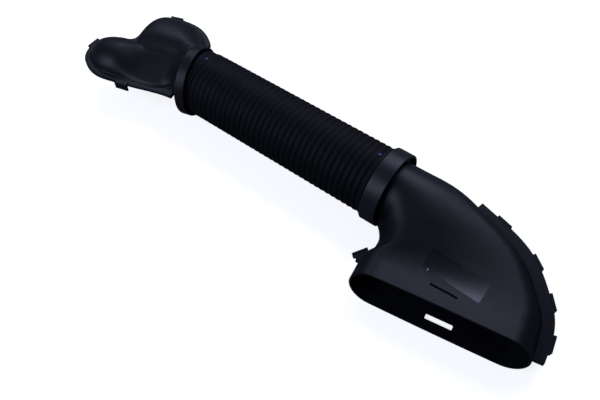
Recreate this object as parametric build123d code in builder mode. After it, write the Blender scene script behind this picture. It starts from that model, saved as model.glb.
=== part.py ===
"""Air intake hose of a car: a corrugated hose between two moulded two-shell ducts.

The front duct turns the flow from a round neck to a long flat mouth. The rear duct
takes the other end of the hose and lets the air down through a round outlet.
The part lies at rest on its collar, its rear socket, the mouth's lip and the outlet.
"""

import os
from math import cos, radians, sin, sqrt, tan

from build123d import *

os.makedirs("parts", exist_ok=True)

# Driving dimensions, in millimetres and degrees

front_end_x = 117.81  # front end of the hose's collar
hose_axis_y = 17.99  # the hose's axis, across the part

# Corrugated hose
hose_length = 262.0  # between the collar and the rear socket, along the axis
hose_crest_radius = 39.4
groove_depth = 1.9
hose_bore_radius = 36.3
pitch = 7.2
cuff_length = 10.0  # plain end that sits in the collar or the socket
bend_angle = 15.0  # turn of the hose just before the rear socket
bend_pitches = 2  # corrugations that share the turn

# Front collar
collar_radius = 43.0
collar_length = 19.0
collar_wall = 2.2
web_depth = 5.0  # from the collar's free end to its web
web_thickness = 2.0
neck_insertion = 16.0  # of the duct's neck in the collar
fit_gap = 0.3  # clearance of parts that push into each other

# Both ducts
duct_wall = 2.2
flange_thickness = 2.4
flange_root = 9.0  # reach of a flange into its wall, cut back to the inside
seam_gap = 0.2  # between the flanges of the two shells

# Front duct, seen from above, from the collar's free end
neck_radius = 34.2
mouth_width = 183.0
mouth_height = 50.0
mouth_angle = 9.2  # turn of the mouth's lips from the hose's axis
mouth_tilt = 5.0  # lean of the mouth's plane, its lower lip outward
mouth_centre = (107.0, -94.5)
mouth_band = 20.0  # straight stretch behind the lips
seam_slope = 14.0  # fall of the seam towards the mouth
# Wall points in plan: where the neck ends, round the bend, and where the mouth's band begins
inner_wall = ((11.0, -38.5), (17.8, -46.5), (21.8, -57.0), (20.5, -70.0))
outer_wall = ((60.0, 36.0), (100.0, 26.0), (151.0, 4.0), (181.0, -27.0))
neck_end = 3.0
stations = 17  # ovals from the neck's end to the band
first_stations = 7  # of them, those of the first loft
round_crown = 1 - sqrt(0.5)  # share of the height that the arcs rise where the oval is a circle
mouth_crown = 0.03
inner_flange_span = (0.02, 0.93)  # shares of the wall's length that carry a flange
outer_flange_span = (0.34, 1.0)
inner_flange_widths = (5.5, 4.5)  # at the two ends of its span
outer_flange_widths = (2.5, 10.5)
outer_flange_end = 15.0  # run of the outer strip along the mouth's band

# Slots behind the lips, in plan from the collar's free end
slot_length = 28.4
slot_corner = 1.0
upper_slot_width = 2.6
upper_slot_centre = (100.0, -77.0)
upper_slot_angle = 4.0
lower_slot_width = 6.4
lower_slot_centre = (108.0, -82.0)
lower_slot_angle = 9.4

# Snap clips
clip_length = 17.0
clip_thickness = 2.4
clip_rise = 3.2
clip_drop = 8.6
window_length = 10.5
window_height = 3.4
catch_reach = 1.8
clip_root = 3.0
clip_gap = 0.3
inner_clip_shares = (0.82,)
outer_clip_shares = (0.16, 0.44, 0.665, 0.885)

# Rear duct, measured from the hose's end along the hose's turned axis
socket_length = 12.0
socket_flare = 9.0
socket_lip = 3.0
stop_radius = 34.0
rear_neck_radius = 30.0
rear_flange_width = 7.5
# Sections of the lobe and the bulge: place, middle, half width and half height
lobe_rows = (
    (-45.0, 0.0, 29.0, 27.0),
    (-75.0, -1.0, 30.0, 25.0),
    (-105.0, -1.5, 30.0, 23.5),
    (-125.0, -1.5, 29.0, 22.5),
    (-140.0, 0.5, 24.5, 18.5),
    (-150.0, 2.5, 17.0, 12.0),
)
lobe_tip = (-155.0, 3.0)
bulge_rows = (
    (-12.0, 15.0, 27.0, 32.0),
    (-24.0, 24.0, 34.0, 31.5),
    (-36.0, 31.0, 41.0, 31.0),
    (-50.0, 37.0, 45.0, 30.5),
    (-66.0, 40.0, 47.0, 29.5),
    (-82.0, 42.0, 46.5, 28.0),
    (-94.0, 43.0, 44.0, 25.0),
    (-103.0, 44.0, 36.0, 18.5),
    (-107.5, 45.0, 22.0, 10.0),
)
bulge_tip = (-109.0, 45.0)
notch_round = 10.0  # of the flange between the two
rim_points = 72  # of the smooth curve along the flange's rim
outlet_centre = (-70.0, 50.0)
outlet_radius = 31.0
outlet_wall = 2.4
outlet_length = 11.0  # plain end below the stop ring
outlet_stop_radius = 34.5
rim_side = -1  # turn of the flange's rim seen from above
rear_clip_shares = (0.34, 0.6, 0.81)

# Frames

axis_height = collar_radius
front = Plane(origin=(front_end_x, hose_axis_y, axis_height))
across = Plane(origin=front.origin, x_dir=(0, 1, 0), z_dir=(1, 0, 0))


def above(point, height=0.0):
    """A point of the front duct, given in plan from the collar's free end."""
    return front.origin + Vector(point[0], point[1], height)


# Hose path: a straight run back from the collar, then an arc towards the mouth's side

bend_length = bend_pitches * pitch
bend_radius = bend_length / radians(bend_angle)
straight_length = hose_length - bend_length


def hose_station(s):
    """Plane across the hose, at a distance s behind the collar's hose side."""
    turn = max(0.0, (s - straight_length) / bend_radius)
    if s > hose_length:
        turn = radians(bend_angle)
    run = min(s, straight_length)
    x = -collar_length - run - bend_radius * sin(turn)
    y = -bend_radius * (1 - cos(turn))
    extra = max(0.0, s - hose_length)
    direction = Vector(-cos(turn), -sin(turn), 0)
    return Plane(origin=above((x, y)) + direction * extra, z_dir=direction)


# Corrugated hose

corrugations = round(hose_length / pitch)
step = hose_length / corrugations
groove_radius = hose_crest_radius - groove_depth

with BuildPart() as corrugated_hose:
    with BuildSketch(hose_station(-cuff_length)):
        Circle(groove_radius)
    with BuildSketch(hose_station(0)):
        Circle(groove_radius)
    for i in range(corrugations):
        with BuildSketch(hose_station((i + 0.5) * step)):
            Circle(hose_crest_radius)
        with BuildSketch(hose_station((i + 1) * step)):
            Circle(groove_radius)
    with BuildSketch(hose_station(hose_length + cuff_length)):
        Circle(groove_radius)
    loft(ruled=True)
    with BuildSketch(hose_station(-cuff_length)):
        Circle(hose_bore_radius)
    with BuildSketch(hose_station(straight_length)):
        Circle(hose_bore_radius)
    for i in range(bend_pitches):
        with BuildSketch(hose_station(straight_length + (i + 1) * pitch)):
            Circle(hose_bore_radius)
    with BuildSketch(hose_station(hose_length + cuff_length)):
        Circle(hose_bore_radius)
    loft(ruled=True, mode=Mode.SUBTRACT)

corrugated_hose.part.label = "corrugated_hose"
export_step(corrugated_hose.part, "parts/corrugated_hose.step")

# Front collar: outer skirt, web and the inner sleeve that takes the duct's neck

sleeve_radius = neck_radius + fit_gap
sleeve_outer = hose_bore_radius - fit_gap

with BuildPart() as front_collar:
    with BuildSketch(across.offset(-collar_length)):
        Circle(collar_radius)
        Circle(collar_radius - collar_wall, mode=Mode.SUBTRACT)
    extrude(amount=collar_length)
    fillet(front_collar.edges().filter_by(GeomType.CIRCLE).group_by(SortBy.RADIUS)[-1], 0.8)
    with BuildSketch(across.offset(-web_depth - web_thickness)):
        Circle(collar_radius - collar_wall / 2)
        Circle(sleeve_radius, mode=Mode.SUBTRACT)
    extrude(amount=web_thickness)
    with BuildSketch(across.offset(-collar_length)):
        Circle(sleeve_outer)
        Circle(sleeve_radius, mode=Mode.SUBTRACT)
    extrude(amount=collar_length - web_depth)

front_collar.part.label = "front_collar"
export_step(front_collar.part, "parts/front_collar.step")

# Front duct: one oval after another, round at the neck and long at the mouth

mouth_along = Vector(cos(radians(mouth_angle)), sin(radians(mouth_angle)), 0)
mouth_out = Vector(sin(radians(mouth_angle)), -cos(radians(mouth_angle)), 0)
mouth_z = mouth_height / 2 - axis_height
mouth_middle = above(mouth_centre, mouth_z)
mouth_lean = mouth_out * cos(radians(mouth_tilt)) + Vector(0, 0, sin(radians(mouth_tilt)))
seam_fall = tan(radians(seam_slope))
seam = Plane(
    origin=front.origin,
    x_dir=(1, 0, 0),
    z_dir=(0, -sin(radians(seam_slope)), cos(radians(seam_slope))),
)


def oval(plane, half_width, half_height, crown_share):
    """Closed oval of four tangent arcs on a plane whose y is up."""
    crown = crown_share * half_height
    spare = half_width - half_height
    corner = (spare + sqrt(spare**2 + 4 * crown * (half_width + half_height - crown))) / 2
    level = half_height - crown
    with BuildLine(plane) as outline:
        ThreePointArc((-corner, level), (0, half_height), (corner, level))
        ThreePointArc((corner, level), (half_width, 0), (corner, -level))
        ThreePointArc((corner, -level), (0, -half_height), (-corner, -level))
        ThreePointArc((-corner, -level), (-half_width, 0), (-corner, level))
    return Face(outline.wire())


mouth_plane = Plane(origin=mouth_middle, x_dir=mouth_along, z_dir=mouth_lean)
band_plane = Plane(
    origin=mouth_middle - mouth_out * mouth_band, x_dir=mouth_along, z_dir=mouth_out
)


def wall_curve(side, points):
    """Plan curve of one wall, tangent to the neck and to the mouth's band."""
    start = above((neck_end, side * neck_radius))
    end = band_plane.origin + mouth_along * (side * mouth_width / 2)
    end = Vector(end.X, end.Y, axis_height)
    middle = [above(point) for point in points]
    return Edge.make_spline([start, *middle, end], tangents=[Vector(1, 0, 0), mouth_out])


inner_curve = wall_curve(-1, inner_wall)
outer_curve = wall_curve(1, outer_wall)


def duct_station(share, inset):
    """Upright oval of the front duct at a share of its walls' length."""
    inner = inner_curve.position_at(share)
    outer = outer_curve.position_at(share)
    ease = share * share * (3 - 2 * share)
    half_height = neck_radius + (mouth_height / 2 - neck_radius) * ease
    crown_share = round_crown + (mouth_crown - round_crown) * sqrt(ease)
    reach = outer - inner
    middle = (inner + outer) / 2 + Vector(0, 0, (mouth_z) * ease)
    plane = Plane(origin=middle, x_dir=reach, z_dir=reach.cross(Vector(0, 0, 1)))
    return oval(plane, reach.length / 2 - inset, half_height - inset, crown_share)


def duct_volume(inset):
    """The front duct's outer form, or its inside where inset is the wall."""
    shares = [i / (stations - 1) for i in range(stations)]
    ovals = [duct_station(share, inset) for share in shares]
    neck = neck_radius - inset
    back = oval(across.offset(-neck_insertion), neck, neck, round_crown)
    lip_height = mouth_height / 2 / cos(radians(mouth_tilt))
    mouth_size = (mouth_width / 2 - inset, lip_height - inset, mouth_crown)
    with BuildPart() as volume:
        loft([back, ovals[0]], ruled=True)
        loft(ovals[:first_stations])
        loft(ovals[first_stations - 1 :])
        loft([ovals[-1], oval(mouth_plane, *mouth_size)], ruled=True)
    return volume.part


duct_outer = duct_volume(0.0)
duct_inner = duct_volume(duct_wall)


def seam_point(point):
    """The point on the front duct's seam straight above or below a plan point."""
    return Vector(point.X, point.Y, axis_height + seam_fall * (point.Y - hose_axis_y))


def beside_wall(curve, side, span, reaches, run=0.0):
    """Plan points outside a wall curve, at distances that change along its span."""
    low, high = span
    start_reach, end_reach = reaches
    points = []
    for i in range(8):
        share = low + (high - low) * i / 7
        reach = start_reach + (end_reach - start_reach) * i / 7
        outward = curve.tangent_at(share).cross(Vector(0, 0, -side)).normalized()
        point = curve.position_at(share) + outward * reach
        points.append(Vector(point.X, point.Y, 0))
    if run > 0:
        points.append(points[-1] + mouth_out * run)
    return points


root = (-flange_root, -flange_root)
front_strips = (
    (beside_wall(inner_curve, -1, inner_flange_span, inner_flange_widths),
     beside_wall(inner_curve, -1, inner_flange_span, root)),
    (beside_wall(outer_curve, 1, outer_flange_span, outer_flange_widths, outer_flange_end),
     beside_wall(outer_curve, 1, outer_flange_span, root, outer_flange_end)),
)


def front_flange(low, high):
    """Both flange strips, between two heights over the seam."""
    with BuildPart() as strips:
        for outside, inside in front_strips:
            with BuildSketch(Plane.XY):
                with BuildLine():
                    Spline(*outside)
                    Line(outside[-1], inside[-1])
                    Spline(*inside)
                    Line(inside[0], outside[0])
                make_face()
            extrude(amount=2 * axis_height)
        split(bisect_by=seam.offset(low), keep=Keep.TOP)
        split(bisect_by=seam.offset(high), keep=Keep.BOTTOM)
        add(duct_inner, mode=Mode.SUBTRACT)
    return strips.part


def clip_frame(edge, share, side, normal):
    """Frame of a clip on a flange's edge: x outward, z across the seam."""
    along = edge.tangent_at(share)
    outward = along.cross(Vector(0, 0, -side))
    outward = (outward - normal * outward.dot(normal)).normalized()
    origin = edge.position_at(share)
    half = clip_length / 2 / edge.length
    ends = (edge.position_at(share - half) + edge.position_at(share + half)) / 2
    bow = max(0.0, (ends - origin).dot(outward))
    return Plane(origin=origin + outward * bow, x_dir=outward, z_dir=normal)


def clip_loop(frame):
    """Loop that hangs from the upper flange over the edge of the lower one."""
    hang = clip_drop + clip_rise
    middle = clip_gap + clip_thickness / 2
    with BuildPart() as loop:
        with BuildSketch(frame.offset(-clip_drop)):
            with Locations((middle, 0)):
                Rectangle(clip_thickness, clip_length)
        extrude(amount=hang)
        fillet(loop.edges().filter_by(lambda edge: abs(edge.length - clip_length) < 0.01), 0.6)
        with BuildSketch(frame.offset(seam_gap / 2)):
            with Locations((0, 0)):
                Rectangle(2 * clip_root, clip_length)
        extrude(amount=flange_thickness)
        with BuildSketch(frame.offset(-flange_thickness - 2 * seam_gap - window_height)):
            with Locations((middle, 0)):
                Rectangle(2 * clip_thickness, window_length)
        extrude(amount=window_height, mode=Mode.SUBTRACT)
    return loop.part


def clip_catch(frame):
    """Nose under the lower flange that stands in the loop's window."""
    low = flange_thickness + window_height
    with BuildPart() as catch:
        with BuildSketch(frame.offset(-low)):
            with Locations((-clip_root, 0)):
                Rectangle(2 * clip_root, window_length - 2 * clip_gap)
        extrude(amount=low - seam_gap / 2 - flange_thickness / 2)
        with BuildSketch(frame.offset(-low)):
            with Locations((catch_reach / 2 - clip_root / 2, 0)):
                Rectangle(catch_reach + clip_root, window_length - 2 * clip_gap)
        extrude(amount=window_height - 2 * clip_gap)
    return catch.part


def slot_cutter(centre, angle, width, height):
    """Slot behind the mouth's lips, cut up or down from the mouth's middle."""
    with BuildPart() as cutter:
        with BuildSketch(Plane(above(centre, mouth_z))):
            with Locations(Rotation(0, 0, angle)):
                RectangleRounded(slot_length, width, slot_corner)
        extrude(amount=height)
    return cutter.part


inner_edge = Edge.make_spline([seam_point(point) for point in front_strips[0][0]])
outer_edge = Edge.make_spline([seam_point(point) for point in front_strips[1][0]])
front_clips = [clip_frame(inner_edge, share, -1, seam.z_dir) for share in inner_clip_shares]
front_clips += [clip_frame(outer_edge, share, 1, seam.z_dir) for share in outer_clip_shares]

with BuildPart() as front_duct_upper:
    add(duct_outer)
    add(duct_inner, mode=Mode.SUBTRACT)
    split(bisect_by=seam.offset(seam_gap / 2), keep=Keep.TOP)
    add(front_flange(seam_gap / 2, seam_gap / 2 + flange_thickness))
    for frame in front_clips:
        add(clip_loop(frame))
    add(slot_cutter(upper_slot_centre, upper_slot_angle, upper_slot_width, mouth_height), mode=Mode.SUBTRACT)

front_duct_upper.part.label = "front_duct_upper"
export_step(front_duct_upper.part, "parts/front_duct_upper.step")

with BuildPart() as front_duct_lower:
    add(duct_outer)
    add(duct_inner, mode=Mode.SUBTRACT)
    split(bisect_by=seam.offset(-seam_gap / 2), keep=Keep.BOTTOM)
    add(front_flange(-seam_gap / 2 - flange_thickness, -seam_gap / 2))
    for frame in front_clips:
        add(clip_catch(frame))
    add(slot_cutter(lower_slot_centre, lower_slot_angle, lower_slot_width, -mouth_height), mode=Mode.SUBTRACT)

front_duct_lower.part.label = "front_duct_lower"
export_step(front_duct_lower.part, "parts/front_duct_lower.step")

# Rear duct: a socket, a short neck, the lobe behind it and the bulge over the outlet

hose_end = hose_station(hose_length)
rear = Plane(origin=hose_end.origin, x_dir=-hose_end.z_dir, z_dir=(0, 0, 1))
rear_across = Plane(origin=rear.origin, x_dir=rear.y_dir, z_dir=rear.x_dir)
cuff_bore = groove_radius + fit_gap
neck_start = socket_length + socket_flare


def rows_plan(rows, tip):
    """Plan of a round-ended form given by its rows, from the neck to its tip."""
    upper = [(x, middle + half_width) for x, middle, half_width, _ in rows]
    lower = [(x, middle - half_width) for x, middle, half_width, _ in rows]
    with BuildSketch() as plan:
        with BuildLine():
            Spline(*upper, tip, *reversed(lower))
            Line(lower[0], upper[0])
        make_face()
    return plan.sketch


def boot_plan(grow):
    """Plan outline of the rear duct, every side moved outward by one distance."""
    with BuildSketch(rear) as boot:
        add(rows_plan([(-neck_start, 0.0, rear_neck_radius, 0.0), *lobe_rows], lobe_tip))
        add(rows_plan(bulge_rows, bulge_tip))
        offset(amount=grow + notch_round)
        offset(amount=-notch_round)
    wire = boot.sketch.face().outer_wire()
    points = [rear.to_local_coords(wire.position_at(i / rim_points)) for i in range(rim_points)]
    with BuildSketch(rear) as outline:
        with BuildLine():
            Spline(*[(point.X, point.Y) for point in points], periodic=True)
        make_face()
    return outline.sketch


def ellipse_at(x, middle, half_width, half_height):
    """Upright ellipse across the rear duct, at a place along it."""
    with BuildSketch(rear_across.offset(x)) as section:
        with Locations((middle, 0)):
            Ellipse(half_width, half_height)
    return section.sketch.face()


def rows_volume(rows, tip, inset):
    """Round-ended form through its rows, with its walls moved inward."""
    sections = []
    for x, middle, half_width, half_height in rows:
        sections.append(ellipse_at(x, middle, half_width - inset, half_height - inset))
    end = rear_across.offset(tip[0] + inset).from_local_coords((tip[1], 0, 0))
    return loft([*sections, Vertex(*end)])


def rear_volume(inset):
    """The rear duct's outer form behind its socket, or its inside."""
    neck_row = (-neck_start, 0.0, rear_neck_radius, rear_neck_radius)
    lobe = rows_volume([neck_row, *lobe_rows], lobe_tip, inset)
    bulge = rows_volume(bulge_rows, bulge_tip, inset)
    with BuildPart() as volume:
        add(lobe)
        add(bulge)
    return volume.part


rear_inner = rear_volume(duct_wall)

neck_bore = rear_neck_radius - duct_wall
stop_back = cuff_length + fit_gap + web_thickness

# Profile of the socket in the plane through the duct's axis: x towards the hose, y outward
with BuildPart() as socket:
    with BuildSketch(rear):
        with BuildLine():
            Polyline(
                (0, collar_radius),
                (-socket_length, collar_radius),
                (-neck_start, rear_neck_radius),
                (-neck_start, neck_bore),
                (-stop_back, stop_radius),
                (-cuff_length - fit_gap, stop_radius),
                (-cuff_length - fit_gap, cuff_bore),
                (-socket_lip, cuff_bore),
                (-socket_lip, collar_radius - collar_wall),
                (0, collar_radius - collar_wall),
                close=True,
            )
        make_face()
    revolve(axis=Axis(rear.origin, rear.x_dir))
    rim = socket.edges().filter_by(GeomType.CIRCLE).group_by(SortBy.RADIUS)[-1]
    fillet(rim, 1.2)

with BuildPart() as neck_hollow:
    with BuildSketch(rear):
        with BuildLine():
            Polyline(
                (-cuff_length - fit_gap, 0),
                (-cuff_length - fit_gap, stop_radius),
                (-stop_back, stop_radius),
                (-neck_start, neck_bore),
                (-neck_start, 0),
                close=True,
            )
        make_face()
    revolve(axis=Axis(rear.origin, rear.x_dir))

with BuildPart() as rear_shell:
    add(rear_volume(0.0))
    add(rear_inner, mode=Mode.SUBTRACT)
    add(neck_hollow.part, mode=Mode.SUBTRACT)
    add(socket.part)

outlet_plane = rear.offset(-axis_height)

with BuildPart() as outlet:
    with BuildSketch(outlet_plane):
        with Locations(outlet_centre):
            Circle(outlet_radius)
            Circle(outlet_radius - outlet_wall, mode=Mode.SUBTRACT)
    extrude(amount=axis_height - flange_thickness)
    with BuildSketch(outlet_plane.offset(outlet_length)):
        with Locations(outlet_centre):
            Circle(outlet_stop_radius)
            Circle(outlet_radius - outlet_wall, mode=Mode.SUBTRACT)
    extrude(amount=outlet_wall)
    add(rear_inner, mode=Mode.SUBTRACT)

with BuildPart() as outlet_hole:
    with BuildSketch(outlet_plane):
        with Locations(outlet_centre):
            Circle(outlet_radius - outlet_wall)
    extrude(amount=axis_height)

flange_outline = boot_plan(rear_flange_width)
flange_rim = flange_outline.face().outer_wire()
rear_clips = [clip_frame(flange_rim, share, rim_side, Vector(0, 0, 1)) for share in rear_clip_shares]


def rear_flange(low):
    """The rear duct's flange, over or under the seam, clear of the socket."""
    with BuildPart() as ring:
        extrude(flange_outline, amount=flange_thickness)
        split(bisect_by=rear_across.offset(-neck_start), keep=Keep.BOTTOM)
        add(rear_inner.moved(Location((0, 0, -low))), mode=Mode.SUBTRACT)
    return ring.part.moved(Location((0, 0, low)))


with BuildPart() as rear_duct_upper:
    add(rear_shell.part)
    split(bisect_by=rear.offset(seam_gap / 2), keep=Keep.TOP)
    add(rear_flange(seam_gap / 2))
    for frame in rear_clips:
        add(clip_loop(frame))

rear_duct_upper.part.label = "rear_duct_upper"
export_step(rear_duct_upper.part, "parts/rear_duct_upper.step")

with BuildPart() as rear_duct_lower:
    add(rear_shell.part)
    split(bisect_by=rear.offset(-seam_gap / 2), keep=Keep.BOTTOM)
    add(rear_flange(-seam_gap / 2 - flange_thickness))
    add(outlet.part)
    add(outlet_hole.part, mode=Mode.SUBTRACT)
    for frame in rear_clips:
        add(clip_catch(frame))

rear_duct_lower.part.label = "rear_duct_lower"
export_step(rear_duct_lower.part, "parts/rear_duct_lower.step")
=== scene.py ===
# %% [markdown]
# # The air intake hose of a car
#
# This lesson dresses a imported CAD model: a corrugated hose between two moulded ducts.
# The CAD says where everything is, in metres, with the ground at z = 0. We load it as
# a frame, and then give every piece its finished surface. Two ways are used here. A
# piece whose shape is already right keeps its CAD mesh and only gets a material. The
# hose, with its rounded rings, and the upper shell behind it, with its dip, are made
# anew and stand in for the CAD ones.

import math

import bmesh
import bpy
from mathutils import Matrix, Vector
from mathutils.bvhtree import BVHTree


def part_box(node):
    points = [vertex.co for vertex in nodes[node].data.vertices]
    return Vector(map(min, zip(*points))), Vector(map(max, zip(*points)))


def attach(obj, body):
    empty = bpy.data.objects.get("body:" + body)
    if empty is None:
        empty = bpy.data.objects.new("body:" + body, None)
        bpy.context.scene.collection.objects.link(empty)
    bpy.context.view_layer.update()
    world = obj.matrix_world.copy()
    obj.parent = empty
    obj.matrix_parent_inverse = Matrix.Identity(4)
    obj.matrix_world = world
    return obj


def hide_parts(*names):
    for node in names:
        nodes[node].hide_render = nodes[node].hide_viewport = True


MM = 0.001
UP = Vector((0, 0, 1))

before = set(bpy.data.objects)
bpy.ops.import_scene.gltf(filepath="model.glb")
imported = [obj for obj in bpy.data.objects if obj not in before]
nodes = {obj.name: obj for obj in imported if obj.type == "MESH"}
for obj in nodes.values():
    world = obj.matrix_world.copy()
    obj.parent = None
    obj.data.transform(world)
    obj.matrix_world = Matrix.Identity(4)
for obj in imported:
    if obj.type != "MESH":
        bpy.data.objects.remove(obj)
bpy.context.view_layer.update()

# %% [markdown]
# ## Where things are
#
# The collar is a ring round the hose's axis, so its box gives the axis: its height over
# the ground, its place across, and the plane of its free end. Everything else in this
# lesson is placed from that point, which keeps the pieces in step with the CAD.

# %% Read the main places from the collar
collar_low, collar_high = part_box("front_collar")
axis_height = (collar_low.z + collar_high.z) / 2
axis_y = (collar_low.y + collar_high.y) / 2
free_end = Vector((collar_high.x, axis_y, axis_height))
hose_start = Vector((collar_low.x, axis_y, axis_height))
print("hose axis at", [round(v, 4) for v in free_end])

# %% [markdown]
# ## Grain and worn sheen, shared by all the plastics
#
# Moulded plastic is never one flat colour. The mould leaves a fine grain that breaks up
# the reflections, handling leaves slightly smoother patches, and dust makes some areas
# a touch paler. Each material could hold those nodes itself, but all plastics here share
# the effects, so they live in one node group with named inputs. The group only puts out
# a colour, a roughness and a height: the shader stays in each material, where the export
# can read it.

# %% Build the shared node group
patch_scale = 14.0  # patches about as wide as a hand
dust_from, dust_to = 0.35, 0.7  # range of the patches that goes from clean to dusty


def add_socket(tree, name, kind, direction, default=None):
    """Adds one named socket to a node group and gives it its default value."""
    socket = tree.interface.new_socket(name=name, in_out=direction, socket_type=kind)
    if default is not None:
        socket.default_value = default
    return socket


def node(tree, kind, x, y, **settings):
    """Adds a node at a place on the sheet and sets its options."""
    made = tree.nodes.new(kind)
    made.location = (x, y)
    for name, value in settings.items():
        setattr(made, name, value)
    return made


def make_plastic_group():
    """Node group: base colour and roughness varied by patches, and a fine grain height."""
    tree = bpy.data.node_groups.new("moulded_plastic", "ShaderNodeTree")
    add_socket(tree, "Colour", "NodeSocketColor", "INPUT", (0.01, 0.01, 0.014, 1))
    add_socket(tree, "Dust Colour", "NodeSocketColor", "INPUT", (0.03, 0.032, 0.04, 1))
    add_socket(tree, "Dust", "NodeSocketFloat", "INPUT", 0.2)
    add_socket(tree, "Roughness", "NodeSocketFloat", "INPUT", 0.45)
    add_socket(tree, "Patchiness", "NodeSocketFloat", "INPUT", 0.08)
    add_socket(tree, "Grain Scale", "NodeSocketFloat", "INPUT", 1400.0)
    add_socket(tree, "Colour", "NodeSocketColor", "OUTPUT")
    add_socket(tree, "Roughness", "NodeSocketFloat", "OUTPUT")
    add_socket(tree, "Height", "NodeSocketFloat", "OUTPUT")
    inputs = node(tree, "NodeGroupInput", -900, 0)
    outputs = node(tree, "NodeGroupOutput", 600, 0)
    place = node(tree, "ShaderNodeTexCoord", -900, -300)
    patches = node(tree, "ShaderNodeTexNoise", -600, 200)
    patches.inputs["Scale"].default_value = patch_scale
    patches.inputs["Detail"].default_value = 4.0
    grain = node(tree, "ShaderNodeTexNoise", -600, -300)
    grain.inputs["Detail"].default_value = 2.0
    spread = node(tree, "ShaderNodeMapRange", -350, 200)
    spread.inputs["From Min"].default_value = dust_from
    spread.inputs["From Max"].default_value = dust_to
    dust = node(tree, "ShaderNodeMath", -120, 200, operation="MULTIPLY")
    dusty_colour = node(tree, "ShaderNodeMix", 120, 200, data_type="RGBA")
    swing = node(tree, "ShaderNodeMath", -120, 0, operation="MULTIPLY_ADD")
    centred = node(tree, "ShaderNodeMath", -350, 0, operation="SUBTRACT")
    centred.inputs[1].default_value = 0.5  # the noise's mean
    link = tree.links.new
    link(place.outputs["Object"], patches.inputs["Vector"])
    link(place.outputs["Object"], grain.inputs["Vector"])
    link(inputs.outputs["Grain Scale"], grain.inputs["Scale"])
    link(patches.outputs["Fac"], spread.inputs["Value"])
    link(spread.outputs["Result"], dust.inputs[0])
    link(inputs.outputs["Dust"], dust.inputs[1])
    link(dust.outputs["Value"], dusty_colour.inputs["Factor"])
    link(inputs.outputs["Colour"], dusty_colour.inputs["A"])
    link(inputs.outputs["Dust Colour"], dusty_colour.inputs["B"])
    link(patches.outputs["Fac"], centred.inputs[0])
    link(centred.outputs["Value"], swing.inputs[0])
    link(inputs.outputs["Patchiness"], swing.inputs[1])
    link(inputs.outputs["Roughness"], swing.inputs[2])
    link(dusty_colour.outputs["Result"], outputs.inputs["Colour"])
    link(swing.outputs["Value"], outputs.inputs["Roughness"])
    link(grain.outputs["Fac"], outputs.inputs["Height"])
    return tree


plastic_group = make_plastic_group()
print("shared group", plastic_group.name, "with", len(plastic_group.nodes), "nodes")

# %% [markdown]
# ## Three black plastics
#
# Side by side, the photo's blacks differ. The ducts are satin and a little blue, the
# collar is smoother and paler, and the hose is dull, because a soft plastic that is
# blown into a mould takes a matt skin. One function makes them all, and only the numbers
# differ. The specular level is one number for the whole surface, so it is set on the
# shader's own socket.

# %% Materials made with the group
grain_depth = 0.2 * MM


def make_plastic(
    name, colour, dust_colour, dust, roughness, patchiness, grain_scale, bump, specular
):
    """A material of one moulded plastic: the shared group feeds its own shader."""
    material = bpy.data.materials.new(name)
    material.use_nodes = True
    tree = material.node_tree
    tree.nodes.clear()
    group = node(tree, "ShaderNodeGroup", -500, 0, node_tree=plastic_group)
    group.inputs["Colour"].default_value = (*colour, 1)
    group.inputs["Dust Colour"].default_value = (*dust_colour, 1)
    group.inputs["Dust"].default_value = dust
    group.inputs["Roughness"].default_value = roughness
    group.inputs["Patchiness"].default_value = patchiness
    group.inputs["Grain Scale"].default_value = grain_scale
    grain_bump = node(tree, "ShaderNodeBump", -200, -250)
    grain_bump.inputs["Strength"].default_value = bump
    grain_bump.inputs["Distance"].default_value = grain_depth
    shader = node(tree, "ShaderNodeBsdfPrincipled", 50, 0)
    shader.inputs["Specular IOR Level"].default_value = specular
    output = node(tree, "ShaderNodeOutputMaterial", 350, 0)
    link = tree.links.new
    link(group.outputs["Colour"], shader.inputs["Base Color"])
    link(group.outputs["Roughness"], shader.inputs["Roughness"])
    link(group.outputs["Height"], grain_bump.inputs["Height"])
    link(grain_bump.outputs["Normal"], shader.inputs["Normal"])
    link(shader.outputs["BSDF"], output.inputs["Surface"])
    return material


duct_plastic = make_plastic(
    "duct_plastic",
    colour=(0.0032, 0.0036, 0.006),
    dust_colour=(0.0075, 0.0085, 0.013),
    dust=0.35,
    roughness=0.46,
    patchiness=0.1,
    grain_scale=1500.0,
    bump=0.2,
    specular=0.32,
)
collar_plastic = make_plastic(
    "collar_plastic",
    colour=(0.0075, 0.0083, 0.013),
    dust_colour=(0.015, 0.017, 0.024),
    dust=0.3,
    roughness=0.42,
    patchiness=0.1,
    grain_scale=1800.0,
    bump=0.15,
    specular=0.4,
)
hose_plastic = make_plastic(
    "hose_plastic",
    colour=(0.0028, 0.003, 0.0046),
    dust_colour=(0.006, 0.0065, 0.009),
    dust=0.35,
    roughness=0.6,
    patchiness=0.1,
    grain_scale=1200.0,
    bump=0.2,
    specular=0.16,
)
print("materials", [m.name for m in (duct_plastic, collar_plastic, hose_plastic)])

# %% [markdown]
# ## Dress the CAD pieces
#
# The front shells, the lower rear shell and the collar have their right shape in the
# CAD, with their flanges, clips and slots. They keep their meshes and only take a
# material. Every CAD piece gets one, those that are replaced below too.

# %% Give the CAD pieces their materials
plastic_of = {
    "front_duct_upper": duct_plastic,
    "front_duct_lower": duct_plastic,
    "rear_duct_upper": duct_plastic,
    "rear_duct_lower": duct_plastic,
    "front_collar": collar_plastic,
    "corrugated_hose": hose_plastic,
}
for name, material in plastic_of.items():
    mesh = nodes[name].data
    mesh.materials.clear()
    mesh.materials.append(material)
print("dressed", len(plastic_of), "CAD pieces")

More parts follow.
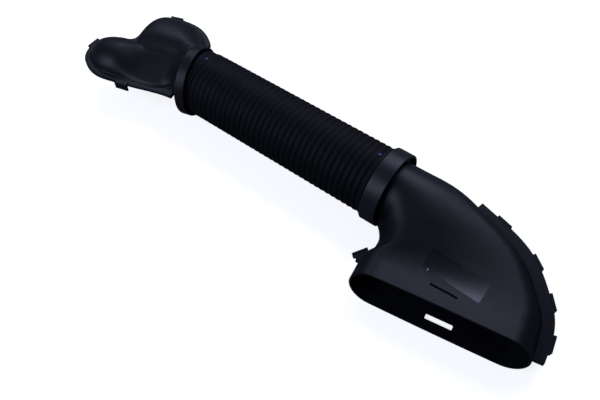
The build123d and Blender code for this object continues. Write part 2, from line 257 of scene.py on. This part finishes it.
# %% [markdown]
# ## The corrugated hose
#
# The real hose is blown into a mould, so it has one thin wall with the same rings inside
# and out. A screw or an array of rings could make it, but it is one profile repeated
# along a path that bends at its end, which is work for Geometry Nodes. The path has a
# point for every sample: eight for each corrugation, so that no crest falls between two
# samples. Beyond both ends it goes on straight, as the plain cuffs do.

# %% Path of the hose
hose_run = 262.0 * MM  # between the collar and the rear socket
hose_bend = math.radians(15.0)  # turn just before the socket
bend_run = 14.4 * MM
corrugations = 36
samples_per_ring = 8
plain_samples = 11  # in the plain end at each side
bend_radius = bend_run / hose_bend
straight_run = hose_run - bend_run
sample_step = hose_run / (corrugations * samples_per_ring)


def new_object(name, data):
    """Puts an object with the given data into the scene, at the origin."""
    made = bpy.data.objects.new(name, data)
    bpy.context.scene.collection.objects.link(made)
    return made


def hose_frame(run):
    """Point on the hose's axis and its direction, at a distance behind the collar."""
    turn = min(max(0.0, run - straight_run) / bend_radius, hose_bend)
    direction = Vector((-math.cos(turn), -math.sin(turn), 0))
    straight = min(run, straight_run)
    arc = Vector((-math.sin(turn), math.cos(turn) - 1, 0)) * bend_radius
    beyond = direction * max(0.0, run - hose_run)
    return hose_start + Vector((-straight, 0, 0)) + arc + beyond, direction


def curve_object(name, points):
    """A curve of straight steps through points."""
    curve = bpy.data.curves.new(name, "CURVE")
    curve.dimensions = "3D"
    spline = curve.splines.new("POLY")
    spline.points.add(len(points) - 1)
    for target, point in zip(spline.points, points):
        target.co = (*point, 1.0)
    return new_object(name, curve)


sample_count = corrugations * samples_per_ring + 2 * plain_samples + 1
path_points = [
    hose_frame((i - plain_samples) * sample_step)[0] for i in range(sample_count)
]
print("hose path of", sample_count, "points")

# %% [markdown]
# ## From the path to the rings
#
# The tree counts the path's points and turns the count into a place within the
# corrugation. A sine's size, raised to a power below one, gives broad, rounded crests
# with narrow grooves between them, and that becomes the radius of a tube. A second tube
# inside gives the wall its thickness. It meets the first at both ends, where the two
# are merged, so the wall is closed. The second tube's faces are turned, so that all
# faces point out of the plastic.

# %% Node tree that turns the path into the hose
end_share = 0.001  # share of the path, at each end, in which the two walls meet
merge_within = 0.01 * MM


def make_hose_tree():
    """Geometry nodes: a tube whose radius follows the corrugations, with an inner wall."""
    tree = bpy.data.node_groups.new("hose_from_path", "GeometryNodeTree")
    add_socket(tree, "Path", "NodeSocketGeometry", "INPUT")
    for name in ("Groove Radius", "Depth", "Fullness", "Wall"):
        add_socket(tree, name, "NodeSocketFloat", "INPUT")
    for name in ("Plain Samples", "Samples Per Ring", "Corrugations", "Segments"):
        add_socket(tree, name, "NodeSocketInt", "INPUT")
    add_socket(tree, "Material", "NodeSocketMaterial", "INPUT")
    add_socket(tree, "Hose", "NodeSocketGeometry", "OUTPUT")
    inputs = node(tree, "NodeGroupInput", -1400, 0)
    outputs = node(tree, "NodeGroupOutput", 1400, 0)
    given = inputs.outputs
    link = tree.links.new

    def maths(x, y, operation, *values):
        """A maths node whose inputs are linked or set in order."""
        made = node(tree, "ShaderNodeMath", x, y, operation=operation)
        for socket, value in zip(made.inputs, values):
            if isinstance(value, (int, float)):
                socket.default_value = value
            else:
                link(value, socket)
        return made.outputs["Value"]

    place = node(tree, "GeometryNodeSplineParameter", -1400, -400)
    along = place.outputs["Factor"]
    index = maths(-1150, -300, "SUBTRACT", place.outputs["Index"], given["Plain Samples"])
    turns = maths(-950, -300, "DIVIDE", index, given["Samples Per Ring"])
    phase = maths(-750, -300, "MULTIPLY", turns, math.pi)
    wave = maths(-550, -300, "SINE", phase)
    height = maths(-350, -300, "ABSOLUTE", wave)
    rounded = maths(-150, -300, "POWER", height, given["Fullness"])
    after_start = maths(-750, -500, "GREATER_THAN", turns, 0.0)
    before_end = maths(-750, -650, "LESS_THAN", turns, given["Corrugations"])
    between = maths(-550, -550, "MULTIPLY", after_start, before_end)
    ring = maths(50, -350, "MULTIPLY", rounded, between)
    radius = maths(250, -300, "MULTIPLY_ADD", ring, given["Depth"], given["Groove Radius"])
    not_last = maths(-350, -750, "LESS_THAN", along, 1 - end_share)
    not_first = maths(-350, -900, "GREATER_THAN", along, end_share)
    within = maths(-150, -800, "MULTIPLY", not_last, not_first)
    thinned = maths(50, -700, "MULTIPLY", within, given["Wall"])
    inside = maths(450, -500, "SUBTRACT", radius, thinned)
    circle = node(tree, "GeometryNodeCurvePrimitiveCircle", 450, 250)
    circle.inputs["Radius"].default_value = 1.0
    outer = node(tree, "GeometryNodeCurveToMesh", 700, 100)
    inner = node(tree, "GeometryNodeCurveToMesh", 700, -200)
    turned = node(tree, "GeometryNodeFlipFaces", 880, -200)
    joined = node(tree, "GeometryNodeJoinGeometry", 1000, 0)
    merged = node(tree, "GeometryNodeMergeByDistance", 1080, 0)
    merged.inputs["Distance"].default_value = merge_within
    realized = node(tree, "GeometryNodeRealizeInstances", 1160, 0)
    coloured = node(tree, "GeometryNodeSetMaterial", 1260, 0)
    link(given["Segments"], circle.inputs["Resolution"])
    for tube, size in ((outer, radius), (inner, inside)):
        link(given["Path"], tube.inputs["Curve"])
        link(circle.outputs["Curve"], tube.inputs["Profile Curve"])
        link(size, tube.inputs["Scale"])
    link(inner.outputs["Mesh"], turned.inputs["Mesh"])
    link(turned.outputs["Mesh"], joined.inputs["Geometry"])
    link(outer.outputs["Mesh"], joined.inputs["Geometry"])
    link(joined.outputs["Geometry"], merged.inputs["Geometry"])
    link(merged.outputs["Geometry"], realized.inputs["Geometry"])
    link(realized.outputs["Geometry"], coloured.inputs["Geometry"])
    link(given["Material"], coloured.inputs["Material"])
    link(coloured.outputs["Geometry"], outputs.inputs["Hose"])
    return tree


hose_tree = make_hose_tree()
print("hose tree of", len(hose_tree.nodes), "nodes")

# %% [markdown]
# ## Keep the hose as a plain mesh
#
# The export needs plain meshes. So the tree runs once as a modifier on the path, its
# result is copied to a mesh, and the modifier and the path are removed. The inputs are
# set by their identifiers before the object is first evaluated.

# %% Run the tree
hose_sizes = {
    "Groove Radius": 37.5 * MM,
    "Depth": 1.9 * MM,  # from the bottom of a groove to the top of a crest
    "Fullness": 0.6,  # the power: below one, crests are broad and grooves narrow
    "Plain Samples": plain_samples,
    "Samples Per Ring": samples_per_ring,
    "Corrugations": corrugations,
    "Wall": 1.2 * MM,
    "Segments": 96,
    "Material": hose_plastic,
}


def run_tree(name, source, tree, values):
    """Applies a node tree to an object with named values and returns a mesh object."""
    modifier = source.modifiers.new("build", "NODES")
    modifier.node_group = tree
    for item in tree.interface.items_tree:
        if item.in_out == "INPUT" and item.name in values:
            modifier[item.identifier] = values[item.name]
    bpy.context.view_layer.update()
    evaluated = source.evaluated_get(bpy.context.evaluated_depsgraph_get())
    mesh = bpy.data.meshes.new_from_object(evaluated)
    source.modifiers.remove(modifier)
    bpy.data.objects.remove(source)
    mesh.shade_smooth()
    return new_object(name, mesh)


hose = run_tree("bellows", curve_object("hose_path", path_points), hose_tree, hose_sizes)
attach(hose, "root")
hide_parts("corrugated_hose")
print("bellows faces", len(hose.data.polygons))

# %% [markdown]
# ## The rear shell
#
# The CAD shell behind the hose is a lobe and a bulge that meet in a crease. On the real
# one they flow into each other, with a low saddle between the socket and the lobe's
# end. It could be sculpted, but a rule can be read and changed. We take a copy of the
# CAD mesh, merge its loose triangles and split its long edges, so that there are enough
# points to bend. Then we press the saddle into it and smooth the crease. The press
# multiplies the height over the seam by a share that depends on the place along and
# across the duct. Nothing moves at the seam itself, so the shell still closes on the
# lower one. Splitting a very thin triangle can leave faces that lie on each other.
# They meet in a point that has two edges only, so such points are deleted at the end,
# and the faces with them, and the surface stays as it is.

# %% Press the saddle into the rear shell
seam_level = axis_height
rear_origin, rear_direction = hose_frame(hose_run)
rear_sideways = rear_direction.cross(UP)  # towards the bulge
longest_edge = 2.4 * MM
split_rounds = 4
weld_within = 0.001 * MM
saddle_least = 0.36  # share of the height that stays at the outer side
saddle_from = (20.0 * MM, 42.0 * MM)  # where it begins behind the socket
saddle_until = (74.0 * MM, 112.0 * MM)  # where it ends before the lobe's end
saddle_across = (-30.0 * MM, 34.0 * MM)  # from the outer side up to the bulge's ridge
flow_from = 25.0 * MM  # the smoothing begins behind the socket's flare
flow_until = 88.0 * MM  # and ends short of the thin end of the bulge
flow_above = 5.0 * MM  # over the seam, so that the flange and the clips keep their edges
flow_rounds = 20
flow_factor = 0.5
shell_edge_angle = math.radians(32)  # sharper edges stay crisp


def ease(low, high, value):
    """Smooth step from 0 to 1 between two values."""
    share = min(max((value - low) / (high - low), 0.0), 1.0)
    return share * share * (3 - 2 * share)


def refined_copy(name, source):
    """Copy of a CAD piece in which no edge is much longer than the longest allowed."""
    mesh = source.data.copy()
    mesh.transform(source.matrix_world)
    fine = bmesh.new()
    fine.from_mesh(mesh)
    bmesh.ops.remove_doubles(fine, verts=fine.verts, dist=weld_within)
    for _ in range(split_rounds):
        long_edges = [edge for edge in fine.edges if edge.calc_length() > longest_edge]
        bmesh.ops.subdivide_edges(fine, edges=long_edges, cuts=1)
        bmesh.ops.triangulate(fine, faces=fine.faces)
    fine.to_mesh(mesh)
    fine.free()
    return new_object(name, mesh)


def rear_place(point):
    """How far a point lies behind the socket, and across the duct towards the bulge."""
    offset = point - rear_origin
    return offset.dot(rear_direction), offset.dot(rear_sideways)


def press_saddle(mesh):
    """Lowers the shell between the socket and the lobe's end, most at the outer side."""
    for vertex in mesh.vertices:
        along, across = rear_place(vertex.co)
        rise = vertex.co.z - seam_level
        if rise > 0:
            share = ease(*saddle_from, along) * (1 - ease(*saddle_until, along))
            share *= 1 - ease(*saddle_across, across)
            vertex.co.z = seam_level + rise * (1 - (1 - saddle_least) * share)


def smooth_crease(mesh):
    """Relaxes the body of the shell, clear of its flange, its clips and its thin end."""
    flow = bmesh.new()
    flow.from_mesh(mesh)
    body_verts = []
    for vertex in flow.verts:
        along, _ = rear_place(vertex.co)
        if flow_from < along < flow_until and vertex.co.z > seam_level + flow_above:
            body_verts.append(vertex)
    axes = {"use_axis_x": True, "use_axis_y": True, "use_axis_z": True}
    for _ in range(flow_rounds):
        bmesh.ops.smooth_vert(flow, verts=body_verts, factor=flow_factor, **axes)
    flow.to_mesh(mesh)
    flow.free()


def drop_doubled_faces(mesh):
    """Deletes the points with two edges only, where thin faces lie on each other."""
    clean = bmesh.new()
    clean.from_mesh(mesh)
    spare = [vertex for vertex in clean.verts if len(vertex.link_edges) == 2]
    bmesh.ops.delete(clean, geom=spare, context="VERTS")
    open_edges = sum(1 for edge in clean.edges if len(edge.link_faces) != 2)
    print("spare points", len(spare), "open edges", open_edges)
    clean.to_mesh(mesh)
    clean.free()


rear_shell = refined_copy("rear_shell_upper", nodes["rear_duct_upper"])
press_saddle(rear_shell.data)
smooth_crease(rear_shell.data)
drop_doubled_faces(rear_shell.data)
rear_shell.data.materials.clear()
rear_shell.data.materials.append(duct_plastic)
rear_shell.data.shade_smooth()
rear_shell.data.set_sharp_from_angle(angle=shell_edge_angle)
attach(rear_shell, "root")
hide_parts("rear_duct_upper")
print("rear shell faces", len(rear_shell.data.polygons))

# %% [markdown]
# ## The label
#
# The label is a blank glossy film stuck on the upper shell of the elbow. A flat plate
# would float over the curved shell, so a grid of points is dropped on the shell from
# above, and each one stops a tenth of a millimetre over it. A skirt round the grid's
# rim goes down into the shell, so the film shows an edge and no gap.

# %% Label on the elbow
# Corners from the collar's free end, in millimetres, in order round the film.
label_corners = ((69.0, -44.6), (133.0, -43.6), (132.0, -68.6), (70.0, -66.6))
label_columns, label_rows = 28, 12
label_lift = 0.1 * MM
label_skirt = 0.3 * MM
label_edge_angle = math.radians(40)
look_from = 0.2  # height from which points are dropped, well over the part

depsgraph = bpy.context.evaluated_depsgraph_get()
elbow_tree = BVHTree.FromObject(nodes["front_duct_upper"], depsgraph)


def drop_on_elbow(x, y):
    """The elbow's highest point over a plan point, and the surface's normal there."""
    found, normal, _, _ = elbow_tree.ray_cast(Vector((x, y, look_from)), -UP)
    return found, normal


def patch_point(corners, u, v):
    """Point of a four-cornered patch, corner order round the patch."""
    a, b, c, d = [Vector(corner) for corner in corners]
    return (a * (1 - u) + b * u) * (1 - v) + (d * (1 - u) + c * u) * v


def finished_mesh(name, builder):
    """Turns a builder's faces outwards and writes them to a new mesh."""
    bmesh.ops.recalc_face_normals(builder, faces=builder.faces)
    mesh = bpy.data.meshes.new(name)
    builder.to_mesh(mesh)
    builder.free()
    mesh.shade_smooth()
    return mesh


def sheet_object(name, corners, columns, rows, lift, skirt_depth):
    """Thin sheet over a patch of the elbow, with a skirt into it."""
    builder = bmesh.new()
    top = []
    for j in range(rows + 1):
        for i in range(columns + 1):
            spot = patch_point(corners, i / columns, j / rows) * MM + free_end.xy
            found, normal = drop_on_elbow(spot.x, spot.y)
            top.append(builder.verts.new(found + normal * lift))
    width = columns + 1
    for j in range(rows):
        for i in range(columns):
            first = j * width + i
            around = (first, first + 1, first + 1 + width, first + width)
            builder.faces.new([top[k] for k in reversed(around)])
    rim = list(range(width))
    rim += [j * width + columns for j in range(1, rows + 1)]
    rim += [rows * width + i for i in range(columns - 1, -1, -1)]
    rim += [j * width for j in range(rows - 1, 0, -1)]
    skirt = [builder.verts.new(top[k].co - UP * skirt_depth) for k in rim]
    for k in range(len(rim)):
        after = (k + 1) % len(rim)
        builder.faces.new([top[rim[k]], top[rim[after]], skirt[after], skirt[k]])
    return new_object(name, finished_mesh(name, builder))


label_film = make_plastic(
    "label_film",
    colour=(0.005, 0.0055, 0.008),
    dust_colour=(0.009, 0.01, 0.014),
    dust=0.5,
    roughness=0.22,
    patchiness=0.06,
    grain_scale=900.0,
    bump=0.04,
    specular=0.5,
)
label = sheet_object(
    "label", label_corners, label_columns, label_rows, label_lift, label_skirt
)
label.data.materials.append(label_film)
label.data.set_sharp_from_angle(angle=label_edge_angle)
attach(label, "root")
print("label faces", len(label.data.polygons))

# %% [markdown]
# ## The paint marks
#
# Two small blue dabs of paint sit on crests of the hose, one near each end, and a pale
# one on the elbow beside the label. They could be painted in a material, but paint
# stands a little proud of the plastic and has its own gloss. So each dab is a flat dome
# whose rim goes down into the surface.

# %% Paint marks
mark_segments = 20
mark_rings = ((1.0, -1.0), (1.0, 0.3), (0.75, 0.75), (0.4, 1.0))  # of radius and height
crest_radius = 39.4 * MM
hose_mark_radius = 1.7 * MM
hose_mark_height = 0.35 * MM
elbow_mark_radius = 0.9 * MM
elbow_mark_height = 0.3 * MM
elbow_mark_lift = 0.1 * MM
elbow_mark_reach = Vector((76.9, -66.4, 0)) * MM  # from the collar's free end
hose_marks = (
    ("mark_front", 7.4 * MM, math.radians(4.1)),  # run behind the collar, lean
    ("mark_rear", 250.5 * MM, math.radians(5.3)),
)


def make_paint(name, colour, roughness):
    """Plain paint, a little uneven in its gloss."""
    return make_plastic(
        name,
        colour,
        colour,
        dust=0.0,
        roughness=roughness,
        patchiness=0.1,
        grain_scale=1500.0,
        bump=0.05,
        specular=0.4,
    )


def mark_object(name, centre, normal, radius, height):
    """Low round dab of paint: a flat dome on a surface."""
    side = normal.orthogonal().normalized()
    other = normal.cross(side)
    builder = bmesh.new()
    circles = []
    for radius_share, height_share in mark_rings:
        circle = []
        for k in range(mark_segments):
            angle = math.tau * k / mark_segments
            around = side * math.cos(angle) + other * math.sin(angle)
            reach = around * (radius_share * radius)
            circle.append(builder.verts.new(centre + reach + normal * (height_share * height)))
        circles.append(circle)
    for lower, upper in zip(circles, circles[1:]):
        for k in range(mark_segments):
            after = (k + 1) % mark_segments
            builder.faces.new([lower[k], lower[after], upper[after], upper[k]])
    builder.faces.new(circles[-1])
    return new_object(name, finished_mesh(name, builder))


blue_paint = make_paint("blue_paint", (0.03, 0.09, 0.35), 0.5)
white_paint = make_paint("white_paint", (0.45, 0.46, 0.48), 0.5)
for name, run, lean in hose_marks:
    axis_point, direction = hose_frame(run)
    outward = UP * math.cos(lean) + direction.cross(UP) * math.sin(lean)
    crest_point = axis_point + outward * crest_radius
    mark = mark_object(name, crest_point, outward, hose_mark_radius, hose_mark_height)
    mark.data.materials.append(blue_paint)
    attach(mark, "root")
    print(name, "at", [round(v, 4) for v in crest_point])
dot_spot = free_end + elbow_mark_reach
dot_place, dot_normal = drop_on_elbow(dot_spot.x, dot_spot.y)
dot_centre = dot_place + dot_normal * elbow_mark_lift
dot = mark_object(
    "mark_elbow", dot_centre, dot_normal, elbow_mark_radius, elbow_mark_height
)
dot.data.materials.append(white_paint)
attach(dot, "root")
print("mark_elbow at", [round(v, 4) for v in dot_centre])

# %% [markdown]
# ## The floor
#
# The part lies on a plain white floor. A white floor throws a lot of light back at a
# dark part, and its blacks turn grey. So the floor is white only for the camera, which
# also sees a glow on top of what the lamps give, and it keeps the part's shadow. For
# every other ray it is a mid grey.

# %% Floor
floor_size = 8.0
floor_glow = 0.8
floor_seen = 0.8  # paint level for the camera
floor_given = 0.22  # paint level for every other ray


def make_floor_material():
    """White for the camera, mid grey for the light that the floor throws back."""
    material = bpy.data.materials.new("studio_floor")
    material.use_nodes = True
    tree = material.node_tree
    tree.nodes.clear()
    rays = node(tree, "ShaderNodeLightPath", -700, 200)
    glow_level = node(tree, "ShaderNodeMath", -50, 200, operation="MULTIPLY")
    glow_level.inputs[1].default_value = floor_glow
    glow = node(tree, "ShaderNodeEmission", 150, 200)
    paint_level = node(tree, "ShaderNodeMapRange", -350, 0)
    paint_level.inputs["To Min"].default_value = floor_given
    paint_level.inputs["To Max"].default_value = floor_seen
    paint = node(tree, "ShaderNodeBsdfDiffuse", 150, 0)
    both = node(tree, "ShaderNodeAddShader", 350, 100)
    output = node(tree, "ShaderNodeOutputMaterial", 550, 100)
    link = tree.links.new
    link(rays.outputs["Is Camera Ray"], glow_level.inputs[0])
    link(rays.outputs["Is Camera Ray"], paint_level.inputs["Value"])
    link(paint_level.outputs["Result"], paint.inputs["Color"])
    link(glow_level.outputs["Value"], glow.inputs["Strength"])
    link(glow.outputs["Emission"], both.inputs[0])
    link(paint.outputs["BSDF"], both.inputs[1])
    link(both.outputs["Shader"], output.inputs["Surface"])
    return material


bpy.ops.mesh.primitive_plane_add(size=floor_size)
floor = bpy.context.object
floor.name = "floor"
floor.data.materials.append(make_floor_material())
print("floor of", floor_size, "m")

# %% [markdown]
# ## World and lamps
#
# Black plastic is seen mostly by its highlights, so the lamps matter more than its
# colour. A weak, bluish world keeps the blacks from closing up. The lamp behind the
# part draws the long highlight down the elbow, the one in front lights the side with
# the mouth, and a small one picks out the rear duct.

# %% World and lamps
world_given = 0.1  # strength for every ray but the camera's
world_seen = 1.0
world_tint = (0.66, 0.72, 1.0)
lamp_colour = (0.68, 0.73, 1.0)  # the cool light of the photograph
lamps = (
    # name, place and target in metres, side of the square, power in watts
    ("overhead", (0.05, 1.15, 1.4), (0.1, 0, 0), 0.95, 12.5),
    ("front", (-0.9, -1.5, 1.2), (0, 0, 0), 1.2, 16.0),
    ("rear", (-1.6, 1.1, 1.5), (-0.25, 0, 0), 0.6, 5.5),
)


def make_studio_world():
    """White for the camera, a weak bluish light for every other ray."""
    world = bpy.data.worlds.new("studio")
    world.use_nodes = True
    tree = world.node_tree
    tree.nodes.clear()
    rays = node(tree, "ShaderNodeLightPath", -600, 200)
    level = node(tree, "ShaderNodeMapRange", -300, 200)
    level.inputs["To Min"].default_value = world_given
    level.inputs["To Max"].default_value = world_seen
    tint = node(tree, "ShaderNodeMix", -300, -100, data_type="RGBA")
    tint.inputs["A"].default_value = (*world_tint, 1)
    tint.inputs["B"].default_value = (1, 1, 1, 1)
    sky = node(tree, "ShaderNodeBackground", 0, 0)
    output = node(tree, "ShaderNodeOutputWorld", 250, 0)
    link = tree.links.new
    link(rays.outputs["Is Camera Ray"], tint.inputs["Factor"])
    link(rays.outputs["Is Camera Ray"], level.inputs["Value"])
    link(tint.outputs["Result"], sky.inputs["Color"])
    link(level.outputs["Result"], sky.inputs["Strength"])
    link(sky.outputs["Background"], output.inputs["Surface"])
    return world


def area_lamp(name, place, target, size, power):
    """A soft square lamp at a place, turned to a target."""
    lamp = bpy.data.lights.new(name, "AREA")
    lamp.size = size
    lamp.energy = power
    lamp.color = lamp_colour
    lamp_object = new_object(name, lamp)
    lamp_object.location = place
    direction = Vector(target) - Vector(place)
    lamp_object.rotation_euler = direction.to_track_quat("-Z", "Y").to_euler()


bpy.context.scene.world = make_studio_world()
for lamp in lamps:
    area_lamp(*lamp)
print("lamps", [lamp[0] for lamp in lamps])

# %% [markdown]
# ## Camera
#
# The camera stands where the photograph was taken from. Its place, its line of sight
# and its lens were found by fitting the hose's edges and the collar's ellipse, and its
# place is given from the collar, as everything else is.

# %% Camera
camera_reach = Vector((0.155, -0.369, 0.509))  # from the collar's free end
camera_sight = Vector((-0.3617, 0.4713, -0.8044))
camera_lens = 36.0
sensor_width = 36.0
nearest_seen = 0.01
camera_data = bpy.data.cameras.new("photo_camera")
camera_data.lens = camera_lens
camera_data.sensor_width = sensor_width
camera_data.clip_start = nearest_seen
camera = new_object("photo_camera", camera_data)
camera.location = free_end + camera_reach
camera.rotation_euler = camera_sight.to_track_quat("-Z", "Y").to_euler()
bpy.context.scene.camera = camera
bpy.context.scene.view_settings.view_transform = "Standard"
print("camera at", [round(v, 4) for v in camera.location])
